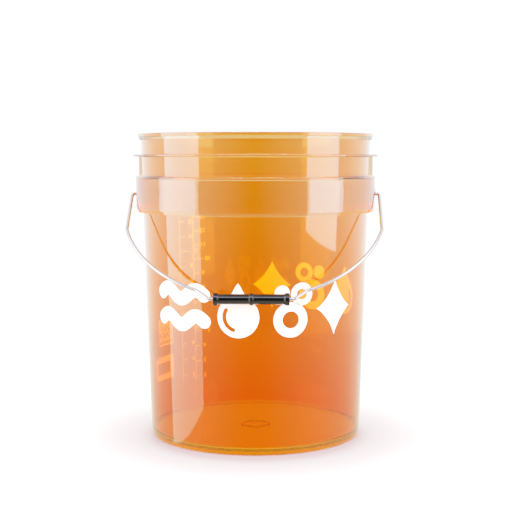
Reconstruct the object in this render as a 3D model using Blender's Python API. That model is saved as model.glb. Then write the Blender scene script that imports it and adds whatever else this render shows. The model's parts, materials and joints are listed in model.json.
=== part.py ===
"""Wash bucket: a translucent moulded tub, a steel wire bail and a plastic roller grip.

Metres, +Z up. The origin is on the tub's axis, at the plane that the foot ring stands on. The
front is -Y, and the bail's two ears are at -X and +X. The bail is at rest, hanging in front with
its grip just off the tub's wall.
"""

from math import asin, atan, cos, degrees, pi, radians, sin, sqrt, tan

import bmesh
import bpy
from mathutils import Matrix, Vector

# Tub: the wall is a cone that widens upwards.
HEIGHT = 0.3555
BASE_RADIUS = 0.1247  # outside of the wall, carried down to the standing plane
DRAFT = 0.0294  # radius gained per unit of height
WALL = 0.0022
RIM_RADIUS = 0.1384
LIP_DEPTH = 0.0070
LIP_WALL = 0.0014
LIP_ROOF = 0.0032  # depth of the solid part of the lip, above its hanging hook
STACKING_FLANGE_RADIUS = 0.1444
STACKING_FLANGE_TOP = 0.3314
SKIRT_FLANGE_RADIUS = 0.1416
SKIRT_RADIUS = 0.1412
SKIRT_TOP = 0.3064
SKIRT_BOTTOM = 0.2640
SKIRT_WALL = 0.0020
FLANGE_THICKNESS = 0.0024
FLOOR_UNDERSIDE = 0.0040
FLOOR_TOP = 0.0064
FLOOR_FILLET = 0.0050
FOOT_RING_WIDTH = 0.0040
GATE_RING = (0.0133, 0.0170)  # inner and outer radius of the low ring round the moulding gate
EDGE = 0.0005  # small moulded edge round
LATHE_STEPS = 64

# Ears: the two places where the bail goes through the skirt.
EAR_HEIGHT = 0.2852
EAR_HOLE_RADIUS = 0.00235
EAR_BOSS_FACE = 0.1423  # distance of the boss's flat face from the tub's axis
EAR_BOSS_FOOT = (0.0048, 0.0150)  # radius round the hole and height of the tip, at the skirt
EAR_BOSS_TOP = (0.0040, 0.0060)  # the same, at the flat face
EAR_WEB_SPREAD = 0.013
EAR_WEB_THICKNESS = 0.0020
EAR_WEB_BOTTOM = 0.2680
RIB_RADIUS = 0.1388
INTO_WALL = 0.0010  # how deep a rib or web is rooted in the surface it joins

# Bail, measured in its own flat plane: across from the middle, and reach from the pivot axis.
WIRE_RADIUS = 0.0019
ARM_ACROSS = 0.1467
ARC_CENTRE_REACH = 0.0219
ARC_RADIUS = 0.1525
JOG_TOP_ACROSS = 0.0605
JOG_BOTTOM_ACROSS = 0.0460
ARM_SPLIT_REACH = 0.03  # where the arm's straight run starts, below the bend at the ear
EAR_BEND_RADIUS = 0.0040
BEND_RADIUS = 0.0070
GRIP_REACH = 0.1753
HEAD_ACROSS = 0.1377  # inner end of the wire, behind the skirt
HEAD_RADIUS = 0.0030
HEAD_THICKNESS = 0.0012

# Grip: a tube with three collars.
GRIP_HALF_LENGTH = 0.04145
GRIP_BODY_RADIUS = 0.0057
GRIP_COLLAR_RADIUS = 0.0069
END_COLLAR_LENGTH = 0.0054
MIDDLE_COLLAR_LENGTH = 0.0048
GRIP_BORE_RADIUS = 0.0023
REST_GAP = 0.00035


def wall_radius(z):
    """Outside radius of the tub's wall at height z."""
    return BASE_RADIUS + DRAFT * z


def rest_tilt():
    """Angle of the bail's plane from straight down that brings the grip's collars to the wall."""
    slope = atan(DRAFT)
    stand_off = (GRIP_COLLAR_RADIUS + REST_GAP) / cos(slope)
    to_wall = (wall_radius(EAR_HEIGHT) + stand_off) * cos(slope)
    return asin(to_wall / GRIP_REACH) - slope


def material(name, colour, roughness, metallic=0.0, transmission=0.0):
    made = bpy.data.materials.new(name)
    made.use_nodes = True
    shader = made.node_tree.nodes["Principled BSDF"]
    shader.inputs["Base Color"].default_value = (*colour, 1.0)
    shader.inputs["Roughness"].default_value = roughness
    shader.inputs["Metallic"].default_value = metallic
    shader.inputs["Transmission Weight"].default_value = transmission
    return made


def object_from(name, bm, finish=None):
    """A new object that holds the bmesh, with its normals facing out."""
    bmesh.ops.recalc_face_normals(bm, faces=bm.faces)
    mesh = bpy.data.meshes.new(name)
    bm.to_mesh(mesh)
    bm.free()
    mesh.shade_smooth()
    mesh.set_sharp_from_angle(angle=radians(35))
    if finish:
        mesh.materials.append(finish)
    made = bpy.data.objects.new(name, mesh)
    bpy.context.collection.objects.link(made)
    return made


def lathe(name, profile, steps, finish, closed=False):
    """Turns (radius, height) points about Z. A closed profile makes a ring."""
    bm = bmesh.new()
    verts = [bm.verts.new((radius, 0, height)) for radius, height in profile]
    pairs = list(zip(verts, verts[1:]))
    if closed:
        pairs.append((verts[-1], verts[0]))
    edges = [bm.edges.new(pair) for pair in pairs]
    bmesh.ops.spin(
        bm, geom=verts + edges, cent=(0, 0, 0), axis=(0, 0, 1), angle=2 * pi, steps=steps, use_merge=True
    )
    bmesh.ops.remove_doubles(bm, verts=bm.verts, dist=1e-6)
    return object_from(name, bm, finish)


def arc(centre, radius, start, end, count):
    """count points on a circle, with both ends, by angles in degrees."""
    angles = [radians(start + (end - start) * i / (count - 1)) for i in range(count)]
    return [(centre[0] + radius * cos(a), centre[1] + radius * sin(a)) for a in angles]


def tub_profile():
    """Floor, inside wall, rolled lip, two flanges, skirt, outside wall and foot ring, in that order."""
    inside_foot = wall_radius(0) - FOOT_RING_WIDTH
    fillet_radius = wall_radius(FLOOR_TOP) - WALL - FLOOR_FILLET
    fillet = arc((fillet_radius, FLOOR_TOP + FLOOR_FILLET), FLOOR_FILLET, -90, 0, 4)
    rim_inside = wall_radius(HEIGHT) - WALL
    lip_bottom = HEIGHT - LIP_DEPTH
    lip_roof = HEIGHT - LIP_ROOF
    lip = [
        (rim_inside, HEIGHT - 2 * EDGE),
        (rim_inside + 2 * EDGE, HEIGHT),
        (RIM_RADIUS - 2 * EDGE, HEIGHT),
        (RIM_RADIUS, HEIGHT - 2 * EDGE),
        (RIM_RADIUS, lip_bottom + EDGE),
        (RIM_RADIUS - EDGE, lip_bottom),
        (RIM_RADIUS - LIP_WALL, lip_bottom),
        (RIM_RADIUS - LIP_WALL, lip_roof),
        (wall_radius(lip_roof), lip_roof),
    ]
    flange_bottom = STACKING_FLANGE_TOP - FLANGE_THICKNESS
    stacking_flange = [
        (wall_radius(STACKING_FLANGE_TOP), STACKING_FLANGE_TOP),
        (STACKING_FLANGE_RADIUS - EDGE, STACKING_FLANGE_TOP),
        (STACKING_FLANGE_RADIUS, STACKING_FLANGE_TOP - EDGE),
        (STACKING_FLANGE_RADIUS, flange_bottom + EDGE),
        (STACKING_FLANGE_RADIUS - EDGE, flange_bottom),
        (wall_radius(flange_bottom), flange_bottom),
    ]
    skirt_roof = SKIRT_TOP - FLANGE_THICKNESS
    skirt = [
        (wall_radius(SKIRT_TOP), SKIRT_TOP),
        (SKIRT_FLANGE_RADIUS - EDGE, SKIRT_TOP),
        (SKIRT_FLANGE_RADIUS, SKIRT_TOP - EDGE),
        (SKIRT_FLANGE_RADIUS, skirt_roof),
        (SKIRT_RADIUS, skirt_roof - EDGE),
        *arc((SKIRT_RADIUS - SKIRT_WALL / 2, SKIRT_BOTTOM + SKIRT_WALL / 2), SKIRT_WALL / 2, 0, -180, 5),
        (SKIRT_RADIUS - SKIRT_WALL, skirt_roof),
        (wall_radius(skirt_roof), skirt_roof),
    ]
    foot_round = 3 * EDGE
    foot = [
        *arc((wall_radius(0) - foot_round, foot_round), foot_round, 0, -90, 3),
        (inside_foot + EDGE, 0),
        (inside_foot, EDGE),
        (inside_foot, FLOOR_UNDERSIDE - EDGE),
        (inside_foot - EDGE, FLOOR_UNDERSIDE),
    ]
    gate_inner, gate_outer = GATE_RING
    gate = [
        (gate_outer, FLOOR_UNDERSIDE),
        (gate_outer - EDGE, FLOOR_UNDERSIDE - EDGE),
        (gate_inner + EDGE, FLOOR_UNDERSIDE - EDGE),
        (gate_inner, FLOOR_UNDERSIDE),
    ]
    return [
        (0, FLOOR_TOP),
        *fillet,
        *lip,
        *stacking_flange,
        *skirt,
        *foot,
        *gate,
        (0, FLOOR_UNDERSIDE),
    ]


def helper(name, bm):
    """A hidden solid that a Boolean joins to a part or cuts from it."""
    made = object_from(name, bm)
    made.hide_render = True
    made.display_type = "WIRE"
    return made


def block(name, low, high):
    bm = bmesh.new()
    size = Vector(high) - Vector(low)
    middle = (Vector(high) + Vector(low)) / 2
    bmesh.ops.create_cube(bm, size=1, matrix=Matrix.Translation(middle) @ Matrix.Diagonal((*size, 1)))
    return helper(name, bm)


def mirrored_block(name, side, low, high):
    """A block given for the +X side, built on the stated side."""
    xs = sorted((side * low[0], side * high[0]))
    return block(name, (xs[0], low[1], low[2]), (xs[1], high[1], high[2]))


def ear_boss(name, side):
    """A teardrop pad round the ear's hole, highest at the hole and fading out above it."""
    foot = (SKIRT_RADIUS - SKIRT_WALL / 2, EAR_BOSS_FOOT)
    top = (EAR_BOSS_FACE, EAR_BOSS_TOP)
    bm = bmesh.new()
    for across, (radius, tip) in (foot, top):
        for y, z in arc((0, EAR_HEIGHT), radius, -215, 35, 13) + [(0, EAR_HEIGHT + tip)]:
            bm.verts.new((side * across, y, z))
    bmesh.ops.convex_hull(bm, input=bm.verts)
    return helper(name, bm)


def ear_hole(name, side):
    bm = bmesh.new()
    place = Matrix.Translation((side * (SKIRT_RADIUS - SKIRT_WALL / 4), 0, EAR_HEIGHT))
    bmesh.ops.create_cone(
        bm,
        cap_ends=True,
        segments=20,
        radius1=EAR_HOLE_RADIUS,
        radius2=EAR_HOLE_RADIUS,
        depth=4 * SKIRT_WALL,
        matrix=place @ Matrix.Rotation(pi / 2, 4, "Y"),
    )
    return helper(name, bm)


def add_boolean(target, other, operation):
    modifier = target.modifiers.new(other.name, "BOOLEAN")
    modifier.object = other
    modifier.operation = operation


def make_tub():
    plastic = material("tub_plastic", (0.85, 0.25, 0.02), 0.12, transmission=0.8)
    tub = lathe("tub", tub_profile(), LATHE_STEPS, plastic)
    web_root = wall_radius(EAR_WEB_BOTTOM) - INTO_WALL
    for side, label in ((-1, "left"), (1, "right")):
        joined = [
            mirrored_block(
                f"{label}_rib",
                side,
                (wall_radius(SKIRT_TOP) - INTO_WALL, -EAR_WEB_THICKNESS / 2, SKIRT_TOP - INTO_WALL),
                (RIB_RADIUS, EAR_WEB_THICKNESS / 2, STACKING_FLANGE_TOP - FLANGE_THICKNESS + INTO_WALL),
            ),
            ear_boss(f"{label}_boss", side),
        ]
        for front, y in (("front", -EAR_WEB_SPREAD), ("back", EAR_WEB_SPREAD)):
            joined.append(
                mirrored_block(
                    f"{label}_{front}_web",
                    side,
                    (web_root - 0.0004, y - EAR_WEB_THICKNESS / 2, EAR_WEB_BOTTOM),
                    (SKIRT_RADIUS - SKIRT_WALL, y + EAR_WEB_THICKNESS / 2, SKIRT_TOP - INTO_WALL),
                )
            )
        for piece in joined:
            add_boolean(tub, piece, "UNION")
        add_boolean(tub, ear_hole(f"{label}_hole", side), "DIFFERENCE")
    return tub


def rounded(points, radius, count=5):
    """The flat polyline with each inner corner turned into an arc of this radius, where it fits."""
    path = [Vector(points[0])]
    for before, corner, after in zip(points, points[1:], points[2:]):
        corner = Vector(corner)
        back = (Vector(before) - corner).normalized()
        on = (Vector(after) - corner).normalized()
        turn = pi - back.angle(on)
        if turn < radians(6):
            path.append(corner)
            continue
        reach = radius * tan(turn / 2)
        centre = corner + (back + on).normalized() * (radius / cos(turn / 2))
        first = corner + back * reach - centre
        last = corner + on * reach - centre
        for i in range(count):
            path.append(centre + first.slerp(last, i / (count - 1)).normalized() * radius)
    path.append(Vector(points[-1]))
    return path


def bail_half():
    """(across, reach) points of the +X half, from the headed end to the middle of the grip."""
    arm_end = ARC_CENTRE_REACH + sqrt(ARC_RADIUS**2 - ARM_ACROSS**2)
    jog_top = ARC_CENTRE_REACH + sqrt(ARC_RADIUS**2 - JOG_TOP_ACROSS**2)
    arm_split = (ARM_ACROSS, ARM_SPLIT_REACH)
    ear_bend = rounded([(HEAD_ACROSS + HEAD_THICKNESS, 0), (ARM_ACROSS, 0), arm_split], EAR_BEND_RADIUS)
    start, end = (
        atan((reach - ARC_CENTRE_REACH) / across)
        for across, reach in ((ARM_ACROSS, arm_end), (JOG_TOP_ACROSS, jog_top))
    )
    sweep = arc((0, ARC_CENTRE_REACH), ARC_RADIUS, degrees(start) + 4, degrees(end), 12)
    grip_end = (JOG_BOTTOM_ACROSS, GRIP_REACH)
    lower = rounded([arm_split, (ARM_ACROSS, arm_end), *sweep, grip_end, (0, GRIP_REACH)], BEND_RADIUS)
    return ear_bend[:-1] + lower


def make_bail(tilt):
    steel = material("bail_steel", (0.62, 0.60, 0.57), 0.25, metallic=1.0)
    half = bail_half()
    down = Vector((0, -sin(tilt), -cos(tilt)))

    def place(across, reach):
        return Vector((across, 0, EAR_HEIGHT)) + down * reach

    wire = [(place(-x, reach), 1.0) for x, reach in half[:-1]]
    wire += [(place(x, reach), 1.0) for x, reach in reversed(half)]
    head = HEAD_RADIUS / WIRE_RADIUS
    shoulder = HEAD_ACROSS + HEAD_THICKNESS - 0.0001
    left_head = [(place(-HEAD_ACROSS, 0), head), (place(-shoulder, 0), head)]
    right_head = [(place(shoulder, 0), head), (place(HEAD_ACROSS, 0), head)]
    points = left_head + wire + right_head

    curve = bpy.data.curves.new("bail", "CURVE")
    curve.dimensions = "3D"
    curve.bevel_depth = WIRE_RADIUS
    curve.bevel_resolution = 3
    curve.use_fill_caps = True
    curve.materials.append(steel)
    spline = curve.splines.new("POLY")
    spline.points.add(len(points) - 1)
    pivot = Vector((0, 0, EAR_HEIGHT))
    for point, (where, scale) in zip(spline.points, points):
        point.co = (*(where - pivot), 1.0)
        point.radius = scale
    bail = bpy.data.objects.new("bail", curve)
    bail.location = pivot
    bpy.context.collection.objects.link(bail)
    return bail


def grip_profile():
    """(radius, along) points of the tube, closed, running down the outside and up the bore."""
    end = GRIP_HALF_LENGTH
    inner = end - END_COLLAR_LENGTH
    middle = MIDDLE_COLLAR_LENGTH / 2
    body, collar = GRIP_BODY_RADIUS, GRIP_COLLAR_RADIUS
    upper = [
        (GRIP_BORE_RADIUS, end),
        (collar - EDGE, end),
        (collar, end - EDGE),
        (collar, inner + EDGE),
        (collar - EDGE, inner),
        (body, inner),
        (body, middle),
        (collar - EDGE, middle),
        (collar, middle - EDGE),
    ]
    return upper + [(radius, -along) for radius, along in reversed(upper)]


def make_grip(tilt):
    plastic = material("grip_plastic", (0.012, 0.012, 0.013), 0.25)
    grip = lathe("grip", grip_profile(), 20, plastic, closed=True)
    grip.rotation_euler = (0, pi / 2, 0)
    grip.location = (0, -GRIP_REACH * sin(tilt), EAR_HEIGHT - GRIP_REACH * cos(tilt))
    return grip


for old in list(bpy.data.objects):
    bpy.data.objects.remove(old)

make_tub()
make_bail(rest_tilt())
make_grip(rest_tilt())
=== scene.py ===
"""Looks of the wash bucket: a clear orange tub with printed graphics, a steel wire bail and a black grip.

Metres, +Z up, front towards -Y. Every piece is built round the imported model, which gives the sizes
that place it.
"""

import json
from math import atan, ceil, cos, pi, radians, sin, sqrt, tan

import bmesh
import bpy
import numpy as np
from mathutils import Matrix, Vector


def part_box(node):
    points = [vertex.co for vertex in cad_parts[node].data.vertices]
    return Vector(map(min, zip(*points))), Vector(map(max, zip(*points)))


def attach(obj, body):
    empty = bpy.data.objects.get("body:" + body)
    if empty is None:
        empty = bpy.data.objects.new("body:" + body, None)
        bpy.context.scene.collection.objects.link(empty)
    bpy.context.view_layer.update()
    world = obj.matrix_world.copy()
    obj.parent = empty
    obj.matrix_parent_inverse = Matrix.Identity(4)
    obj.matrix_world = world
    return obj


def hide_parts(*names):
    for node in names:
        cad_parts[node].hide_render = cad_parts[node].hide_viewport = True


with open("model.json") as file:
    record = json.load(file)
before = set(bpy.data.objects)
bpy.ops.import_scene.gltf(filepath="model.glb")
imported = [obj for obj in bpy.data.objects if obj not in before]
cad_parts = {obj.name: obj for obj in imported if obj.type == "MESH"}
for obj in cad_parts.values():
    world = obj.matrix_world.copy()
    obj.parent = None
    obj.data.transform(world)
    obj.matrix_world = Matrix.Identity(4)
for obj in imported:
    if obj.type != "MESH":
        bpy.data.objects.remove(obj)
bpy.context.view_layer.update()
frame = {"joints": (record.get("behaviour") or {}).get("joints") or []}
tub_low, tub_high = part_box("tub")
grip_low, grip_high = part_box("grip")
swing = next(joint for joint in frame["joints"] if joint["name"] == "bail_swing")

# Tub: the outside of the wall is a cone.
HEIGHT = tub_high.z
BASE_RADIUS = 0.1247
DRAFT = 0.0294
WALL = 0.0022
RIM_RADIUS = 0.1384
LIP_DEPTH = 0.0070
LIP_WALL = 0.0014
LIP_ROOF = 0.0032
LIP_BAND = 0.0036
LIP_TAPER = 0.0008
STACKING_FLANGE_RADIUS = tub_high.y
STACKING_FLANGE_TOP = 0.3314
SKIRT_FLANGE_RADIUS = 0.1416
SKIRT_RADIUS = 0.1412
SKIRT_TOP = 0.3064
SKIRT_BOTTOM = 0.2648
SKIRT_WALL = 0.0020
SKIRT_BAND = 0.0036
SKIRT_TAPER = 0.0009
FLANGE_THICKNESS = 0.0024
FLOOR_UNDERSIDE = 0.0040
FLOOR_TOP = 0.0064
FLOOR_FILLET = 0.0050
FOOT_RING_WIDTH = 0.0040
FOOT_ROUND = 0.0018
GATE_RING = (0.0133, 0.0170)
BEAD_WIDTH = 0.0018
BEAD_HEIGHT = 0.0008
EDGE = 0.0005
TUB_STEPS = 288

# Ears
EAR_HEIGHT = swing["pos_m"][2]
EAR_HOLE_RADIUS = 0.00235
EAR_BOSS_FACE = 0.1423
EAR_WEB_SPREAD = 0.013
EAR_WEB_THICKNESS = 0.0020
EAR_WEB_BOTTOM = 0.2680
RIB_RADIUS = 0.1388
INTO_WALL = 0.0010

# Bail, in its own flat plane
WIRE_RADIUS = 0.0019
ARM_ACROSS = 0.1467
ARC_CENTRE_REACH = 0.0219
ARC_RADIUS = 0.1525
JOG_TOP_ACROSS = 0.0605
JOG_BOTTOM_ACROSS = 0.0460
ARM_SPLIT_REACH = 0.03
EAR_BEND_RADIUS = 0.0040
BEND_RADIUS = 0.0070
HEAD_ACROSS = 0.1377
HEAD_RADIUS = 0.0030
HEAD_THICKNESS = 0.0012

# Grip
GRIP_CENTRE = (grip_low + grip_high) / 2
GRIP_HALF_LENGTH = grip_high.x
GRIP_BODY_RADIUS = 0.0057
GRIP_COLLAR_RADIUS = 0.0069
END_COLLAR_LENGTH = 0.0054
MIDDLE_COLLAR_LENGTH = 0.0048
GRIP_BORE_RADIUS = 0.0023

# Print: thin films just outside the wall
INK_GAP = 0.00003
INK_THICKNESS = 0.00006
PRINT_BOTTOM = 0.1320
PRINT_HEIGHT = 0.0600
LITRE = 0.001
QUART = 0.000946

# Plastic: the colour that light takes on in one wall
# The wall's tints deepen towards the base: partly the plastic's own colour, partly painted shade for the
# tub's shadow on the ground seen through the lower wall.
FOOT_TINT = (0.93, 0.14, 0.001)
LOW_TINT = (0.94, 0.235, 0.001)
MIDDLE_TINT = (0.95, 0.375, 0.020)
TOP_TINT = (0.96, 0.50, 0.130)
WALL_TINTS_AND_SHADE = ((0.0, FOOT_TINT), (0.02, LOW_TINT), (0.5, MIDDLE_TINT), (1.0, TOP_TINT))
SKIRT_TINT = (1.0, 1.0, 0.88)
FIN_TINT = (0.94, 0.42, 0.20)
LIP_TINT = (0.99, 0.92, 0.83)
EAR_TINT = (0.92, 0.42, 0.15)
RIB_TINT = (0.95, 0.62, 0.42)
FLOOR_TINT = (0.96, 0.60, 0.40)
PLASTIC_INDEX = 1.49
GAP_INDEX = 1.03

# Floor: its painted colour from the tub's shadow outwards
SHADOW_TINTS = ((0.0, (0.185, 0.125, 0.125)), (0.2, (0.255, 0.216, 0.212)), (1.0, (0.37, 0.362, 0.362)))
SHADOW_SHIFT = 0.02
SHADOW_START = BASE_RADIUS - 0.005
SHADOW_END = BASE_RADIUS + 0.095

# Light: strengths, then colours near the ground and higher up
SEEN_DIRECTLY = 3.1
SEEN_THROUGH = 1.5
ROUND_PRINT_AND_FLOOR = 10.5
STUDIO_SIDES = 2.8
STUDIO_REAR = 2.6
STUDIO_ABOVE = 0.5
STUDIO_BELOW = 2.4
LOW_LIGHT = (1.0, 0.94, 0.72)
HIGH_LIGHT = (1.0, 0.99, 1.27)
HIGH_ROOM = (1.0, 0.98, 1.10)

# Film: pairs of light and shown brightness, with the light that is shown as white
FILM_WHITE = 3.0
FILM_CURVE = (
    (0.012, 0.005),
    (0.024, 0.019),
    (0.06, 0.058),
    (0.2, 0.2),
    (0.3, 0.29),
    (0.5, 0.43),
    (0.8, 0.59),
    (1.1, 0.70),
    (1.5, 0.80),
    (2.0, 0.875),
    (2.5, 0.93),
)


def wall_radius(z):
    """Outside radius of the tub's wall at height z."""
    return BASE_RADIUS + DRAFT * z


# Shapes


def add_object(name, mesh, material=None):
    made = bpy.data.objects.new(name, mesh)
    bpy.context.scene.collection.objects.link(made)
    if material:
        mesh.materials.append(material)
    return made


def smooth(mesh, angle=35):
    mesh.shade_smooth()
    mesh.set_sharp_from_angle(angle=radians(angle))


def flatten_shading(obj):
    """Weights the smooth shading by area, so that long faces shade flat up to their rounded edges."""
    modifier = obj.modifiers.new("shading", "WEIGHTED_NORMAL")
    modifier.keep_sharp = True
    modifier.weight = 100
    mesh = evaluated_mesh(obj, obj.name)
    obj.modifiers.clear()
    obj.data = mesh


def rounded(corners, closed=False, step=radians(15)):
    """Points along a polyline of (x, y, round) corners, each corner replaced by an arc of its round."""
    points = []
    for i, (x, y, radius) in enumerate(corners):
        here = Vector((x, y))
        if not radius or (not closed and i in (0, len(corners) - 1)):
            points.append(here)
            continue
        back = (Vector(corners[i - 1][:2]) - here).normalized()
        on = (Vector(corners[(i + 1) % len(corners)][:2]) - here).normalized()
        turn = pi - back.angle(on)
        reach = radius * tan(turn / 2)
        centre = here + (back + on).normalized() * (radius / cos(turn / 2))
        first = here + back * reach - centre
        last = here + on * reach - centre
        count = ceil(turn / step) + 1
        for k in range(count):
            points.append(centre + first.slerp(last, k / (count - 1)).normalized() * radius)
    return points


def arc(centre, radius, start, end, count):
    """count points on a circle, with both ends, by angles in degrees."""
    angles = [radians(start + (end - start) * i / (count - 1)) for i in range(count)]
    return [(centre[0] + radius * cos(a), centre[1] + radius * sin(a)) for a in angles]


def turned(name, profile, steps, ring=False):
    """A solid turned about Z. The profile starts and ends on the axis, or is a closed loop if ring."""
    angles = np.arange(steps) * 2 * pi / steps
    verts, rows = [], []
    for radius, height in profile:
        if radius < 1e-7:
            rows.append([len(verts)])
            verts.append((0.0, 0.0, height))
            continue
        rows.append(list(range(len(verts), len(verts) + steps)))
        verts += [(radius * cos(a), radius * sin(a), height) for a in angles]
    faces = []
    pairs = list(zip(rows, rows[1:]))
    if ring:
        pairs.append((rows[-1], rows[0]))
    for low, high in pairs:
        for i in range(steps):
            j = (i + 1) % steps
            if len(low) == 1:
                faces.append((low[0], high[j], high[i]))
            elif len(high) == 1:
                faces.append((low[i], low[j], high[0]))
            else:
                faces.append((low[i], low[j], high[j], high[i]))
    mesh = bpy.data.meshes.new(name)
    mesh.from_pydata(verts, [], faces)
    bm = bmesh.new()
    bm.from_mesh(mesh)
    bmesh.ops.recalc_face_normals(bm, faces=bm.faces)
    bm.to_mesh(mesh)
    bm.free()
    return mesh


def evaluated_mesh(obj, name):
    """The object's mesh with its modifiers applied."""
    graph = bpy.context.evaluated_depsgraph_get()
    mesh = bpy.data.meshes.new_from_object(obj.evaluated_get(graph))
    mesh.name = name
    return mesh


# Tub


def tub_profile():
    """Floor, inside wall, rolled lip, two flanges, skirt, outside wall and foot ring, in that order."""
    inside_foot = wall_radius(0) - FOOT_RING_WIDTH
    lip_bottom = HEIGHT - LIP_DEPTH
    lip_roof = HEIGHT - LIP_ROOF
    flange_bottom = STACKING_FLANGE_TOP - FLANGE_THICKNESS
    skirt_roof = SKIRT_TOP - FLANGE_THICKNESS
    gate_inner, gate_outer = GATE_RING
    beads = []
    for middle in GATE_RING:
        beads += [
            (middle - BEAD_WIDTH / 2, FLOOR_TOP, EDGE / 4),
            (middle, FLOOR_TOP + BEAD_HEIGHT, EDGE / 2),
            (middle + BEAD_WIDTH / 2, FLOOR_TOP, EDGE / 4),
        ]
    corners = [
        (0, FLOOR_TOP, 0),
        *beads,
        (wall_radius(FLOOR_TOP) - WALL, FLOOR_TOP, FLOOR_FILLET),
        (wall_radius(HEIGHT) - WALL, HEIGHT, 2 * EDGE),
        (RIM_RADIUS, HEIGHT, 2.2 * EDGE),
        (RIM_RADIUS, HEIGHT - LIP_BAND, EDGE),
        (RIM_RADIUS - LIP_TAPER, lip_bottom, EDGE / 2),
        (RIM_RADIUS - LIP_WALL, lip_bottom, EDGE / 2),
        (RIM_RADIUS - LIP_WALL, lip_roof, EDGE),
        (wall_radius(lip_roof), lip_roof, EDGE),
        (wall_radius(STACKING_FLANGE_TOP), STACKING_FLANGE_TOP, 1.6 * EDGE),
        (STACKING_FLANGE_RADIUS, STACKING_FLANGE_TOP, 1.4 * EDGE),
        (STACKING_FLANGE_RADIUS, flange_bottom, 1.4 * EDGE),
        (wall_radius(flange_bottom), flange_bottom, 1.6 * EDGE),
        (wall_radius(SKIRT_TOP), SKIRT_TOP, 1.6 * EDGE),
        (SKIRT_FLANGE_RADIUS, SKIRT_TOP, 1.4 * EDGE),
        (SKIRT_FLANGE_RADIUS, skirt_roof, EDGE / 2),
        (SKIRT_RADIUS, skirt_roof - EDGE, EDGE / 2),
        (SKIRT_RADIUS, SKIRT_BOTTOM + SKIRT_BAND, EDGE),
        (SKIRT_RADIUS - SKIRT_TAPER, SKIRT_BOTTOM, EDGE),
        (SKIRT_RADIUS - SKIRT_WALL, SKIRT_BOTTOM, EDGE),
        (SKIRT_RADIUS - SKIRT_WALL, skirt_roof, 1.6 * EDGE),
        (wall_radius(skirt_roof), skirt_roof, 1.6 * EDGE),
        (wall_radius(0), 0, FOOT_ROUND),
        (inside_foot, 0, 2 * EDGE),
        (inside_foot, FLOOR_UNDERSIDE, 2 * EDGE),
        (gate_outer, FLOOR_UNDERSIDE, EDGE / 2),
        (gate_outer - EDGE, FLOOR_UNDERSIDE - EDGE, EDGE / 2),
        (gate_inner + EDGE, FLOOR_UNDERSIDE - EDGE, EDGE / 2),
        (gate_inner, FLOOR_UNDERSIDE, EDGE / 2),
        (0, FLOOR_UNDERSIDE, 0),
    ]
    return rounded(corners)


def box_into(bm, side, low, high):
    """Adds a box to the bmesh, given for the +X side and built on the stated side."""
    size = Vector(high) - Vector(low)
    middle = (Vector(high) + Vector(low)) / 2
    middle.x *= side
    bmesh.ops.create_cube(bm, size=1, matrix=Matrix.Translation(middle) @ Matrix.Diagonal((*size, 1)))


def boss_into(bm, side):
    """Adds the teardrop pad round an ear's hole."""
    made = []
    foot = (SKIRT_RADIUS - SKIRT_WALL / 2, 0.0048, 0.0150)
    shoulder = (EAR_BOSS_FACE - 0.0003, 0.00425, 0.0078)
    top = (EAR_BOSS_FACE, 0.0038, 0.0056)
    for across, radius, tip in (foot, shoulder, top):
        for y, z in arc((0, EAR_HEIGHT), radius, -215, 35, 41) + [(0, EAR_HEIGHT + tip)]:
            made.append(bm.verts.new((side * across, y, z)))
    hull = bmesh.ops.convex_hull(bm, input=made)
    spare = [v for v in hull["geom_interior"] if isinstance(v, bmesh.types.BMVert)]
    bmesh.ops.delete(bm, geom=spare, context="VERTS")


def ear_pieces():
    """Ribs, webs and bosses of both ears, which a Boolean joins to the turned tub."""
    bm = bmesh.new()
    web_root = wall_radius(EAR_WEB_BOTTOM) - INTO_WALL
    half = EAR_WEB_THICKNESS / 2
    for side in (-1, 1):
        rib_top = STACKING_FLANGE_TOP - FLANGE_THICKNESS + INTO_WALL
        box_into(
            bm,
            side,
            (wall_radius(SKIRT_TOP) - INTO_WALL, -half, SKIRT_TOP - INTO_WALL),
            (RIB_RADIUS, half, rib_top),
        )
        for y in (-EAR_WEB_SPREAD, EAR_WEB_SPREAD):
            box_into(
                bm,
                side,
                (web_root, y - half, EAR_WEB_BOTTOM),
                (SKIRT_RADIUS - SKIRT_WALL * 0.6, y + half, SKIRT_TOP - INTO_WALL),
            )
        boss_into(bm, side)
    bmesh.ops.recalc_face_normals(bm, faces=bm.faces)
    mesh = bpy.data.meshes.new("ear_pieces")
    bm.to_mesh(mesh)
    bm.free()
    return mesh


def ear_holes():
    bm = bmesh.new()
    for side in (-1, 1):
        place = Matrix.Translation((side * (SKIRT_RADIUS - SKIRT_WALL / 4), 0, EAR_HEIGHT))
        bmesh.ops.create_cone(
            bm,
            cap_ends=True,
            segments=48,
            radius1=EAR_HOLE_RADIUS,
            radius2=EAR_HOLE_RADIUS,
            depth=4 * SKIRT_WALL,
            matrix=place @ Matrix.Rotation(pi / 2, 4, "Y"),
        )
    mesh = bpy.data.meshes.new("ear_holes")
    bm.to_mesh(mesh)
    bm.free()
    return mesh


def combine(target, other_mesh, operation):
    """Applies one Boolean to the target's mesh."""
    other = add_object("tool", other_mesh)
    modifier = target.modifiers.new("combine", "BOOLEAN")
    modifier.object = other
    modifier.operation = operation
    mesh = evaluated_mesh(target, target.name)
    target.modifiers.clear()
    target.data = mesh
    bpy.data.objects.remove(other)


def is_in_skirt_gap(face):
    """Whether the face bounds the narrow gap between the skirt and the wall."""
    centre = face.center
    reach = Vector((centre.x, centre.y)).length
    below_roof = SKIRT_BOTTOM + SKIRT_TAPER < centre.z < SKIRT_TOP - FLANGE_THICKNESS - EDGE
    on_wall = abs(reach - wall_radius(centre.z)) < WALL / 4
    on_skirt = abs(reach - (SKIRT_RADIUS - SKIRT_WALL)) < SKIRT_WALL / 4
    return below_roof and (on_wall or on_skirt)


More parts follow.
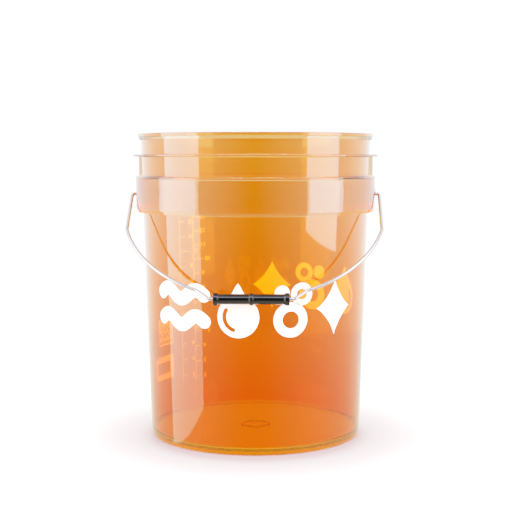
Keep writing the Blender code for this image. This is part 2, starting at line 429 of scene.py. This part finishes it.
def make_tub(plastic, gap_plastic):
    tub = add_object("clear_tub", turned("clear_tub", tub_profile(), TUB_STEPS))
    combine(tub, ear_pieces(), "UNION")
    combine(tub, ear_holes(), "DIFFERENCE")
    tub.data.materials.clear()
    tub.data.materials.append(plastic)
    tub.data.materials.append(gap_plastic)
    smooth(tub.data, 30)
    flatten_shading(tub)
    for face in tub.data.polygons:
        face.material_index = int(is_in_skirt_gap(face))
    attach(tub, "tub")
    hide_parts("tub")


# Print


def flat_shape(splines):
    """A filled flat mesh from closed outlines; an outline inside another is a hole."""
    curve = bpy.data.curves.new("outline", "CURVE")
    curve.dimensions = "2D"
    curve.fill_mode = "BOTH"
    for points in splines:
        spline = curve.splines.new("POLY")
        spline.points.add(len(points) - 1)
        for target, (x, y) in zip(spline.points, points):
            target.co = (x, y, 0, 1)
        spline.use_cyclic_u = True
    return mesh_of_curve(curve)


def flat_number(text, height, centre):
    """A filled flat mesh of a number of this height, with its middle at centre."""
    curve = bpy.data.curves.new("number", "FONT")
    curve.body = text
    curve.size = height * 1.4
    curve.align_x = "CENTER"
    curve.align_y = "CENTER"
    curve.offset = height * 0.02
    mesh = mesh_of_curve(curve)
    mesh.transform(Matrix.Translation((centre[0], centre[1], 0)))
    return mesh


def mesh_of_curve(curve):
    holder = bpy.data.objects.new("holder", curve)
    bpy.context.scene.collection.objects.link(holder)
    mesh = evaluated_mesh(holder, "flat")
    bpy.data.objects.remove(holder)
    return mesh


def film(name, meshes, azimuth, material, pitch=0.0022):
    """Lays flat shapes on the wall as a thin solid film. x runs round the wall and y up it.

    azimuth is the direction in degrees, from +X, that x = 0 faces.
    """
    bm = bmesh.new()
    for mesh in meshes:
        bm.from_mesh(mesh)
    bmesh.ops.remove_doubles(bm, verts=bm.verts, dist=1e-6)
    xs = [v.co.x for v in bm.verts]
    cuts = np.arange(min(xs) + pitch, max(xs), pitch)
    for x in cuts:
        geometry = bm.verts[:] + bm.edges[:] + bm.faces[:]
        bmesh.ops.bisect_plane(bm, geom=geometry, dist=1e-7, plane_co=(x, 0, 0), plane_no=(1, 0, 0))
    top = bmesh.ops.extrude_face_region(bm, geom=bm.faces[:], use_keep_orig=True)
    for vert in top["geom"]:
        if isinstance(vert, bmesh.types.BMVert):
            vert.co.z = INK_THICKNESS
    for vert in bm.verts:
        radius = wall_radius(vert.co.y) + INK_GAP + vert.co.z
        angle = radians(azimuth) + vert.co.x / wall_radius(PRINT_BOTTOM)
        vert.co = (radius * cos(angle), radius * sin(angle), vert.co.y)
    bmesh.ops.recalc_face_normals(bm, faces=bm.faces)
    made = bpy.data.meshes.new(name)
    bm.to_mesh(made)
    bm.free()
    smooth(made, 40)
    piece = add_object(name, made, material)
    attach(piece, "tub")


def wave_ribbon(left, right, height, thickness, swing_height, crests):
    """A thick wavy line with round ends."""
    count = 96
    xs = np.linspace(left, right, count)
    phase = (xs - left) / (right - left) * 2 * pi * crests
    ys = height + swing_height * np.sin(phase)
    slope = swing_height * np.cos(phase) * 2 * pi * crests / (right - left)
    across = np.stack([-slope, np.ones(count)], 1)
    across /= np.linalg.norm(across, axis=1, keepdims=True)
    middle = np.stack([xs, ys], 1)
    upper = middle + across * thickness / 2
    lower = middle - across * thickness / 2

    def cap(at, start):
        direction = np.arctan2(across[at][1], across[at][0])
        angles = direction + start + np.linspace(0, -pi, 15)[1:-1]
        return [tuple(middle[at] + thickness / 2 * np.array((np.cos(a), np.sin(a)))) for a in angles]

    points = [tuple(p) for p in upper] + cap(-1, 0)
    points += [tuple(p) for p in lower[::-1]] + cap(0, pi)
    return points


def circle(centre, radius, count=56):
    return arc(centre, radius, 0, 360 - 360 / count, count)


def drop_outline(centre, width, height):
    """A water drop: a circle below, drawn up to a point."""
    radius = width / 2
    tip = height - radius
    tangent = np.degrees(np.arccos(radius / tip))
    start, end = 90 + tangent, 450 - tangent
    bowl = arc((0, 0), radius, start, end, 60)
    points = []
    right, left = Vector(bowl[-1]), Vector(bowl[0])
    point = Vector((0, tip))
    for t in np.linspace(0, 1, 14)[1:]:
        straight = right.lerp(point, t)
        points.append((straight.x * (1 - 0.22 * sin(pi * t)), straight.y))
    for t in np.linspace(0, 1, 14)[1:-1]:
        straight = point.lerp(left, t)
        points.append((straight.x * (1 - 0.22 * sin(pi * t)), straight.y))
    whole = bowl + points
    return [(centre[0] + x, centre[1] + radius + y) for x, y in whole]


def sparkle(centre, width, height):
    """A four-pointed star with hollow sides."""
    points = []
    for k in range(64):
        a = 2 * pi * k / 64
        x, y = cos(a), sin(a)
        points.append(
            (
                centre[0] + width / 2 * abs(x) ** 2.6 * (1 if x > 0 else -1),
                centre[1] + height / 2 * abs(y) ** 2.6 * (1 if y > 0 else -1),
            )
        )
    return points


def graphic(name, azimuth, ink, with_waves):
    """A row of wash pictograms: waves, a drop, bubbles and a sparkle."""
    low, high = PRINT_BOTTOM, PRINT_BOTTOM + PRINT_HEIGHT
    waves = [
        [wave_ribbon(-0.118, -0.056, low + 0.0455, 0.0155, 0.0052, 1.5)],
        [wave_ribbon(-0.118, -0.056, low + 0.0165, 0.0155, 0.0052, 1.5)],
    ]
    drop_across, drop_width = -0.017, 0.046
    highlight = arc_band((drop_across, low + drop_width / 2), 0.013, 0.0175)
    drop = [[drop_outline((drop_across, low), drop_width, PRINT_HEIGHT), highlight]]
    bubbles = [
        [circle((0.041, low + 0.0195), 0.0195), circle((0.041, low + 0.0195), 0.0095)],
        [circle((0.031, low + 0.0490), 0.0085)],
        [circle((0.0535, low + 0.0475), 0.0125), circle((0.0535, low + 0.0475), 0.0060)],
    ]
    star = [[sparkle((0.0980, low + PRINT_HEIGHT / 2), 0.052, PRINT_HEIGHT * 1.04)]]
    row = drop + bubbles + star
    if with_waves:
        row += waves
    shapes = [flat_shape(outlines) for outlines in row]
    film(name, shapes, azimuth, ink)


def arc_band(centre, inner, outer):
    """A round-ended curved highlight in the lower left of the drop."""
    start, end = 150, 250
    band = arc(centre, outer, start, end, 24)
    middle = (inner + outer) / 2
    half = (outer - inner) / 2
    a = radians(end)
    tail = (centre[0] + middle * cos(a), centre[1] + middle * sin(a))
    band += arc(tail, half, end, end + 180, 10)[1:-1]
    band += arc(centre, inner, end, start, 24)
    a = radians(start)
    head = (centre[0] + middle * cos(a), centre[1] + middle * sin(a))
    band += arc(head, half, start + 180, start + 360, 10)[1:-1]
    return band


def rectangle(low, high, radius=0.0):
    corners = [(low[0], low[1]), (high[0], low[1]), (high[0], high[1]), (low[0], high[1])]
    if not radius:
        return corners
    return rounded([(x, y, radius) for x, y in corners], closed=True)


def height_of(volume):
    """Height of the water's surface when the tub holds this many cubic metres."""
    inner_base = BASE_RADIUS - WALL
    floor_radius = inner_base + DRAFT * FLOOR_TOP
    radius = (floor_radius**3 + 3 * DRAFT * volume / pi) ** (1 / 3)
    return (radius - inner_base) / DRAFT


def litre_scale(ink):
    """Two columns of marks with numbers, one per litre and one per quart."""
    line = 0.0007
    bottom, top = height_of(1.5 * LITRE), height_of(13.5 * LITRE)
    shapes = []
    for unit, start, last, aside in ((LITRE, 0.0, 13, 0.0185), (QUART, -0.0225, 14, 0.0140)):
        shapes.append(flat_shape([rectangle((start, bottom), (start + line, top))]))
        for number in range(2, last + 1):
            z = height_of(number * unit)
            tick, shift = (0.0140, 0.0070) if number % 5 == 0 else (0.0080, 0.0)
            shapes.append(flat_shape([rectangle((start - tick, z - line / 2), (start, z + line / 2))]))
            shapes.append(flat_number(str(number), 0.0058, (start - aside - shift, z)))
    film("litre_scale", shapes, 140, ink)


def labels(ink):
    """Two blank panels, one filled with a plain grid of squares and one a heavy empty frame."""
    grid_low, grid_high, margin = (0.0, 0.0935), (0.0360, 0.1265), 0.0020
    border = [
        rectangle(grid_low, grid_high, 0.0015),
        rectangle(
            (grid_low[0] + margin, grid_low[1] + margin),
            (grid_high[0] - margin, grid_high[1] - margin),
            0.0010,
        ),
    ]
    shapes = [flat_shape(border)]
    cell = 0.0030
    for row in range(9):
        for column in range(10):
            if (row * row + 2 * column * row + column) % 3 == 0:
                continue
            x = grid_low[0] + 0.0035 + column * cell
            y = grid_low[1] + 0.0035 + row * cell
            shapes.append(flat_shape([rectangle((x, y), (x + cell * 0.8, y + cell * 0.8))]))
    frame_shape = [
        rectangle((0.0, 0.0510), (0.0500, 0.0800), 0.0015),
        rectangle((0.0075, 0.0580), (0.0430, 0.0725), 0.0010),
    ]
    shapes.append(flat_shape(frame_shape))
    film("label_panels", shapes, 148.7, ink)


# Bail and grip


def rest_direction():
    """Unit vector from the pivot axis to the grip's axis, with the grip at rest."""
    return Vector((0, GRIP_CENTRE.y, GRIP_CENTRE.z - EAR_HEIGHT)).normalized()


def bail_half():
    """(across, reach) points of the +X half, from the headed end to the middle of the grip."""
    grip_reach = Vector((0, GRIP_CENTRE.y, GRIP_CENTRE.z - EAR_HEIGHT)).length
    arm_end = ARC_CENTRE_REACH + sqrt(ARC_RADIUS**2 - ARM_ACROSS**2)
    jog_top = ARC_CENTRE_REACH + sqrt(ARC_RADIUS**2 - JOG_TOP_ACROSS**2)
    start, end = (
        atan((reach - ARC_CENTRE_REACH) / across)
        for across, reach in ((ARM_ACROSS, arm_end), (JOG_TOP_ACROSS, jog_top))
    )
    sweep = arc((0, ARC_CENTRE_REACH), ARC_RADIUS, np.degrees(start) + 4, np.degrees(end), 40)
    corners = [
        (HEAD_ACROSS, 0, 0),
        (ARM_ACROSS, 0, EAR_BEND_RADIUS),
        (ARM_ACROSS, ARM_SPLIT_REACH, 0),
        (ARM_ACROSS, arm_end, BEND_RADIUS),
        *[(x, y, 0) for x, y in sweep[:-1]],
        (*sweep[-1], BEND_RADIUS),
        (JOG_BOTTOM_ACROSS, grip_reach, BEND_RADIUS),
        (0, grip_reach, 0),
    ]
    return rounded(corners, step=radians(6))


def swept(name, path, radii, sides=28):
    """A round bar along a path that lies in one plane, with flat capped ends."""
    path = [Vector(p) for p in path]
    normal = Vector((1, 0, 0)).cross(rest_direction())
    bm = bmesh.new()
    rings = []
    for i, (point, radius) in enumerate(zip(path, radii)):
        tangent = (path[min(i + 1, len(path) - 1)] - path[max(i - 1, 0)]).normalized()
        side = tangent.cross(normal).normalized()
        ring = []
        for k in range(sides):
            a = 2 * pi * k / sides
            ring.append(bm.verts.new(point + (side * cos(a) + normal * sin(a)) * radius))
        rings.append(ring)
    for low, high in zip(rings, rings[1:]):
        for k in range(sides):
            j = (k + 1) % sides
            bm.faces.new((low[k], low[j], high[j], high[k]))
    bm.faces.new(rings[0])
    bm.faces.new(rings[-1])
    bmesh.ops.recalc_face_normals(bm, faces=bm.faces)
    mesh = bpy.data.meshes.new(name)
    bm.to_mesh(mesh)
    bm.free()
    smooth(mesh, 40)
    return mesh


def make_bail(steel):
    down = rest_direction()
    half = bail_half()

    def place(across, reach):
        return Vector((across, 0, EAR_HEIGHT)) + down * reach

    # The upset head: (distance from the wire's end, radius) with rounded edges.
    head = [
        (0.0, HEAD_RADIUS - 0.0006),
        (0.0001, HEAD_RADIUS - 0.0003),
        (0.0003, HEAD_RADIUS),
        (HEAD_THICKNESS - 0.0003, HEAD_RADIUS),
        (HEAD_THICKNESS - 0.0001, HEAD_RADIUS - 0.0003),
        (HEAD_THICKNESS, WIRE_RADIUS + 0.0002),
        (HEAD_THICKNESS + 0.0003, WIRE_RADIUS),
    ]
    ends = [(place(HEAD_ACROSS + along, 0), radius) for along, radius in head]
    wire = [(place(x, y), WIRE_RADIUS) for x, y in half[1:]]
    right = ends + wire
    left = [(Vector((-p.x, p.y, p.z)), radius) for p, radius in reversed(right[:-1])]
    whole = right + left
    mesh = swept("steel_bail", [p for p, _ in whole], [r for _, r in whole])
    bail = add_object("steel_bail", mesh, steel)
    flatten_shading(bail)
    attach(bail, "bail")
    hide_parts("bail")


def grip_profile():
    """(radius, along) loop of the tube with its three rounded collars and countersunk ends."""
    end = GRIP_HALF_LENGTH
    inner = end - END_COLLAR_LENGTH
    middle = MIDDLE_COLLAR_LENGTH / 2
    body, collar = GRIP_BODY_RADIUS, GRIP_COLLAR_RADIUS
    upper = [
        (GRIP_BORE_RADIUS, end - 0.0012, EDGE / 2),
        (GRIP_BORE_RADIUS + 0.0009, end - 0.0003, EDGE / 2),
        (GRIP_BORE_RADIUS + 0.0013, end - 0.0003, 0),
        (GRIP_BORE_RADIUS + 0.0016, end, EDGE / 2),
        (collar, end, 0.0010),
        (collar, inner + 0.0008, 0.0010),
        (body, inner - 0.0006, 0.0009),
        (body, middle + 0.0002, 0.0009),
        (collar, middle - 0.0010, 0.0011),
    ]
    lower = [(radius, -along, bend) for radius, along, bend in reversed(upper)]
    return rounded(upper + lower, closed=True, step=radians(11))


def make_grip(plastic):
    mesh = turned("black_grip", grip_profile(), 96, ring=True)
    mesh.transform(Matrix.Rotation(pi / 2, 4, "Y"))
    mesh.transform(Matrix.Translation(GRIP_CENTRE))
    smooth(mesh, 40)
    grip = add_object("black_grip", mesh, plastic)
    flatten_shading(grip)
    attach(grip, "grip")
    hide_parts("grip")


# Materials


class Nodes:
    """Short ways to add and join the nodes of a tree."""

    def __init__(self, tree):
        self.tree = tree

    def add(self, kind, **settings):
        node = self.tree.nodes.new("ShaderNode" + kind)
        for key, value in settings.items():
            if key in node.inputs:
                node.inputs[key].default_value = value
            else:
                setattr(node, key, value)
        return node

    def join(self, output, target):
        self.tree.links.new(output, target)

    def put(self, value, socket):
        """Joins an output to the socket, or sets a number or an (r, g, b) on it."""
        if isinstance(value, float):
            socket.default_value = value
        elif isinstance(value, tuple):
            socket.default_value = (*value, 1)
        else:
            self.join(value, socket)

    def split(self, vector):
        node = self.add("SeparateXYZ")
        self.join(vector, node.inputs[0])
        return node.outputs

    def spread(self, value, low, high, from_low=0.3, from_high=0.7, shape="LINEAR"):
        node = self.add("MapRange", interpolation_type=shape)
        for key, number in zip((1, 2, 3, 4), (from_low, from_high, low, high)):
            node.inputs[key].default_value = number
        self.join(value, node.inputs[0])
        return node.outputs[0]

    def math(self, operation, *values):
        node = self.add("Math", operation=operation)
        for socket, value in zip(node.inputs, values):
            self.put(value, socket)
        return node.outputs[0]

    def inverse(self, value):
        return self.math("SUBTRACT", 1.0, value)

    def choose(self, factor, otherwise, chosen):
        """A number: chosen where factor is 1."""
        node = self.add("Mix")
        self.join(factor, node.inputs[0])
        self.put(otherwise, node.inputs[2])
        self.put(chosen, node.inputs[3])
        return node.outputs[0]

    def mix_colour(self, factor, first, second, blend="MIX"):
        """Each of first and second is an (r, g, b) or an output."""
        node = self.add("Mix", data_type="RGBA", blend_type=blend)
        self.put(factor, node.inputs[0])
        self.put(first, node.inputs[6])
        self.put(second, node.inputs[7])
        return node.outputs[2]

    def gradient(self, value, stops):
        """A colour ramp with (position, (r, g, b)) stops, the first at 0 and the last at 1."""
        node = self.add("ValToRGB")
        elements = node.color_ramp.elements
        elements[0].color = (*stops[0][1], 1)
        elements[1].color = (*stops[-1][1], 1)
        for position, colour in stops[1:-1]:
            elements.new(position).color = (*colour, 1)
        self.join(value, node.inputs[0])
        return node.outputs[0]


class Material(Nodes):
    """A new material with its Principled shader, and patterns laid in the object's own coordinates."""

    def __init__(self, name):
        self.material = bpy.data.materials.new(name)
        self.material.use_nodes = True
        super().__init__(self.material.node_tree)
        self.shader = self.tree.nodes["Principled BSDF"]

    def place(self, stretch=(1, 1, 1)):
        """Object coordinates, stretched."""
        where = self.add("TexCoord")
        mapping = self.add("Mapping", Scale=stretch)
        self.join(where.outputs["Object"], mapping.inputs["Vector"])
        return mapping.outputs[0]

    def noise(self, place, scale, detail=3.0):
        node = self.add("TexNoise", Scale=scale, Detail=detail, Roughness=0.55)
        self.join(place, node.inputs["Vector"])
        return node.outputs["Fac"]

    def distance_from_axis(self, place):
        parts = self.split(place)
        flat = self.add("CombineXYZ")
        self.join(parts["X"], flat.inputs["X"])
        self.join(parts["Y"], flat.inputs["Y"])
        reach = self.add("VectorMath", operation="LENGTH")
        self.join(flat.outputs[0], reach.inputs[0])
        return reach.outputs["Value"]

    def bump(self, height, distance, strength):
        node = self.add("Bump", Strength=strength, Distance=distance)
        self.join(height, node.inputs["Height"])
        self.join(node.outputs[0], self.shader.inputs["Normal"])

    def set(self, **values):
        for key, value in values.items():
            self.shader.inputs[key.replace("_", " ")].default_value = value

    def colour(self, output):
        self.join(output, self.shader.inputs["Base Color"])

    def roughness(self, output):
        self.join(output, self.shader.inputs["Roughness"])


def clear_orange(name, index):
    """Glossy clear plastic with the faint waviness of a moulded wall.

    Its tint deepens towards the base, partly the plastic's own colour and partly painted shade,
    and is another one on the skirt, ears, ribs, flanges, lip and floor.
    """
    made = Material(name)
    made.set(IOR=index, Transmission_Weight=1.0)
    place = made.place()
    parts = made.split(place)
    height = parts["Z"]
    skirt_roof = SKIRT_TOP - FLANGE_THICKNESS
    wall = made.math("MULTIPLY_ADD", height, DRAFT, BASE_RADIUS)
    beyond = made.math("SUBTRACT", made.distance_from_axis(place), wall)
    outside = made.spread(beyond, 0.0, 1.0, 0.0003, 0.0007)
    inward = made.spread(beyond, 1.0, 0.0, -0.0040, -0.0030)
    from_middle = made.math("ABSOLUTE", parts["Y"])
    off_ears = made.spread(from_middle, 0.0, 1.0, EAR_WEB_SPREAD + 0.0025, EAR_WEB_SPREAD + 0.0035)
    below_top = made.spread(height, 1.0, 0.0, HEIGHT - LIP_BAND - EDGE, HEIGHT - LIP_BAND)
    above_skirt = made.spread(height, 0.0, 1.0, skirt_roof - EDGE, skirt_roof + EDGE)
    lip_start = HEIGHT - LIP_DEPTH - EDGE
    above_flange = made.spread(height, 0.0, 1.0, STACKING_FLANGE_TOP + EDGE, lip_start)
    above_ring = made.spread(height, 0.0, 1.0, FLOOR_UNDERSIDE - EDGE, FLOOR_UNDERSIDE)
    floor = made.math("MULTIPLY", inward, above_ring)

    # painted shade: the wall's colour deepens towards the base, partly for the tub's shadow seen through
    # the lower wall
    wall_tint_and_shade = made.gradient(made.spread(height, 0.0, 1.0, 0.0, HEIGHT), WALL_TINTS_AND_SHADE)
    round_skirt = made.mix_colour(off_ears, EAR_TINT, SKIRT_TINT)
    fins = made.mix_colour(off_ears, RIB_TINT, FIN_TINT)
    added = made.mix_colour(above_skirt, round_skirt, fins)
    added = made.mix_colour(above_flange, added, LIP_TINT)
    tint = made.mix_colour(made.math("MULTIPLY", outside, below_top), wall_tint_and_shade, added)
    made.colour(made.mix_colour(floor, tint, FLOOR_TINT))

    low = made.spread(height, 1.0, 0.0, FLOOR_UNDERSIDE + EDGE, FLOOR_TOP - EDGE)
    frosting = made.math("MULTIPLY", made.math("MULTIPLY", floor, low), 0.5)
    fine = made.spread(made.noise(place, 900.0, 2.0), 0.015, 0.05)
    made.roughness(made.math("ADD", fine, frosting))
    made.bump(made.noise(place, 14.0, 2.0), 0.0004, 0.06)
    return made.material


def white_ink():
    """Ink thin enough that light from outside shows through it on the inside of the tub."""
    made = Material("white_ink")
    made.set(Subsurface_Weight=1.0, Subsurface_Radius=(1.0, 1.0, 1.0), Subsurface_Scale=0.0006)
    mottle = made.noise(made.place(), 300.0, 4.0)
    made.colour(made.mix_colour(mottle, (0.93, 0.93, 0.92), (0.88, 0.88, 0.87)))
    made.roughness(made.spread(mottle, 0.25, 0.4))
    made.bump(mottle, 0.00002, 0.3)
    return made.material


def drawn_steel():
    """Drawn wire, with fine lines along it."""
    made = Material("drawn_steel")
    made.set(Metallic=1.0)
    speckle = made.noise(made.place(), 2500.0)
    lines = made.noise(made.place((60, 900, 900)), 1.0)
    made.colour(made.mix_colour(lines, (0.44, 0.43, 0.415), (0.36, 0.35, 0.335)))
    made.roughness(made.spread(speckle, 0.14, 0.26))
    made.bump(lines, 0.00003, 0.3)
    return made.material


def black_plastic():
    """Deep black and glossy, with a fine moulded grain."""
    made = Material("black_grip_plastic")
    made.set(Specular_IOR_Level=0.3)
    place = made.place()
    cloud = made.noise(place, 60.0)
    made.colour(made.mix_colour(cloud, (0.0007, 0.0007, 0.0007), (0.0010, 0.0010, 0.0010)))
    made.roughness(made.spread(cloud, 0.10, 0.18))
    made.bump(made.noise(place, 1800.0, 2.0), 0.00002, 0.25)
    return made.material


# Stage


def make_floor():
    """A pale disc with a painted shadow, darker and warmer round the tub, and plain bright where it is seen
    through.
    """
    made = Material("pale_floor")
    made.set(Roughness=0.8)
    place = made.place()
    shifted = made.add("VectorMath", operation="SUBTRACT")
    shifted.inputs[1].default_value = (0, -SHADOW_SHIFT, 0)
    made.join(place, shifted.inputs[0])
    reach = made.distance_from_axis(shifted.outputs[0])
    # painted shadow round the tub's foot, reaching further to the front
    shade = made.gradient(made.spread(reach, 0.0, 1.0, SHADOW_START, SHADOW_END), SHADOW_TINTS)
    cloud = made.noise(place, 6.0, 2.0)
    patchy = made.mix_colour(cloud, (1.0, 1.0, 1.0), (0.98, 0.98, 0.98))
    made.colour(made.mix_colour(1.0, shade, patchy, "MULTIPLY"))
    path = made.add("LightPath")
    glow = made.add("Emission", Strength=SEEN_THROUGH)
    chosen = made.add("MixShader")
    made.join(path.outputs["Is Transmission Ray"], chosen.inputs[0])
    made.join(made.shader.outputs[0], chosen.inputs[1])
    made.join(glow.outputs[0], chosen.inputs[2])
    made.join(chosen.outputs[0], made.tree.nodes["Material Output"].inputs["Surface"])
    bm = bmesh.new()
    bmesh.ops.create_circle(bm, cap_ends=True, segments=96, radius=0.8)
    mesh = bpy.data.meshes.new("pale_floor")
    bm.to_mesh(mesh)
    bm.free()
    floor = add_object("pale_floor", mesh, made.material)
    floor.visible_glossy = False


def softbox(name, location, towards, width, height, radiance, foot=1.0):
    """An area light, warmer near the ground, where foot is its share of the full brightness."""
    light = bpy.data.lights.new(name, "AREA")
    light.shape = "RECTANGLE"
    light.size = width
    light.size_y = height
    light.energy = radiance * 4 * width * height
    light.use_nodes = True
    made = Nodes(light.node_tree)
    emission = made.tree.nodes["Emission"]
    rise = made.split(made.add("NewGeometry").outputs["Position"])["Z"]
    warmth = made.spread(rise, 0.0, 1.0, from_low=-0.18, from_high=0.28)
    hue = made.gradient(warmth, ((0.0, LOW_LIGHT), (1.0, HIGH_LIGHT)))
    made.join(made.spread(rise, foot, 1.0, from_low=-0.28, from_high=0.30), emission.inputs["Strength"])
    made.join(hue, emission.inputs["Color"])
    lamp = bpy.data.objects.new(name, light)
    lamp.location = location
    lamp.rotation_euler = (Vector(towards) - Vector(location)).to_track_quat("-Z", "Y").to_euler()
    lamp.visible_camera = False
    bpy.context.scene.collection.objects.link(lamp)


def make_world():
    """White where it is looked at or looked through, and a studio with a dim front in reflections."""
    world = bpy.data.worlds.new("studio")
    world.use_nodes = True
    world.cycles.sampling_method = "NONE"
    made = Nodes(world.node_tree)
    parts = made.split(made.add("TexCoord").outputs["Generated"])
    path = made.add("LightPath").outputs

    # The studio that reflections show
    front = made.math("POWER", made.spread(parts["Y"], 0.0, 1.0, -1.0, 0.0), 0.6)
    lower = made.spread(parts["Z"], 1.0, 0.6, -0.10, -0.30)
    sides = made.math("MULTIPLY", made.math("MULTIPLY", front, STUDIO_SIDES), lower)
    behind = made.spread(parts["Y"], 0.0, STUDIO_REAR, 0.38, 0.50, "SMOOTHSTEP")
    rear = made.math("MULTIPLY", behind, lower)
    above = made.spread(parts["Z"], 0.0, STUDIO_ABOVE, 0.05, 0.40, "SMOOTHSTEP")
    below = made.spread(parts["Z"], 0.0, STUDIO_BELOW, -0.34, -0.50, "SMOOTHSTEP")
    light = made.math("MAXIMUM", made.math("MAXIMUM", sides, rear), made.math("MAXIMUM", above, below))

    # What each kind of ray meets
    reflected_once = made.math("COMPARE", path["Glossy Depth"], 1.0)
    straight = made.math("MULTIPLY", path["Is Transmission Ray"], made.inverse(reflected_once))
    light = made.choose(straight, light, SEEN_THROUGH)
    light = made.choose(path["Diffuse Depth"], light, ROUND_PRINT_AND_FLOOR)
    light = made.choose(path["Is Camera Ray"], light, SEEN_DIRECTLY)

    # Reflections are warmer near the ground
    rise = made.spread(parts["Z"], 0.0, 1.0, -0.30, 0.0, "SMOOTHSTEP")
    hue = made.gradient(rise, ((0.0, LOW_LIGHT), (1.0, HIGH_ROOM)))
    background = made.tree.nodes["Background"]
    made.join(light, background.inputs["Strength"])
    made.join(made.mix_colour(reflected_once, (1.0, 1.0, 1.0), hue), background.inputs["Color"])
    bpy.context.scene.world = world


def make_lights():
    """A softbox one metre to each side, seen as the pale strips on the wall, and one overhead."""
    left, left_aim = (-1, -0.345, 0.425), (0, -0.345, 0.425)
    right, right_aim = (1, -0.435, 0.855), (0, -0.435, 0.855)
    softbox("left_softbox", left, left_aim, width=0.84, height=1.39, radiance=6.0, foot=0.64)
    softbox("right_softbox", right, right_aim, width=0.75, height=1.49, radiance=6.2, foot=0.8)
    softbox("top_softbox", (0, -1.05, 1.25), (0, 0, 0.2), width=1.6, height=0.25, radiance=13.0)


def set_film():
    """A film curve that darkens the deepest tones and has a soft shoulder.

    The shoulder keeps highlights on the orange peach, and not yellow.
    """
    settings = bpy.context.scene.view_settings
    settings.view_transform = "Standard"
    settings.use_curve_mapping = True
    mapping = settings.curve_mapping
    mapping.white_level = (FILM_WHITE,) * 3
    curve = mapping.curves[3]
    for light, shown in FILM_CURVE:
        curve.points.new(light / FILM_WHITE, shown)
    mapping.update()


def make_camera():
    data = bpy.data.cameras.new("camera")
    data.lens = 77.33
    data.sensor_width = 36
    camera = bpy.data.objects.new("camera", data)
    distance, height = 1.3318, 0.3293
    around, down, aside = 1.9, 5.3, 0.231
    turn = radians(around)
    camera.location = (distance * sin(turn), -distance * cos(turn), height)
    camera.rotation_euler = (radians(90 - down), 0, radians(around - aside))
    bpy.context.scene.collection.objects.link(camera)
    bpy.context.scene.camera = camera


set_film()
make_camera()
make_world()
make_lights()
make_floor()

plastic = clear_orange("clear_orange_plastic", PLASTIC_INDEX)
gap_plastic = clear_orange("clear_orange_gap", GAP_INDEX)
make_tub(plastic, gap_plastic)
ink = white_ink()
graphic("front_graphic", -89, ink, with_waves=True)
graphic("rear_graphic", 38.5, ink, with_waves=False)
litre_scale(ink)
labels(ink)
make_bail(drawn_steel())
make_grip(black_plastic())
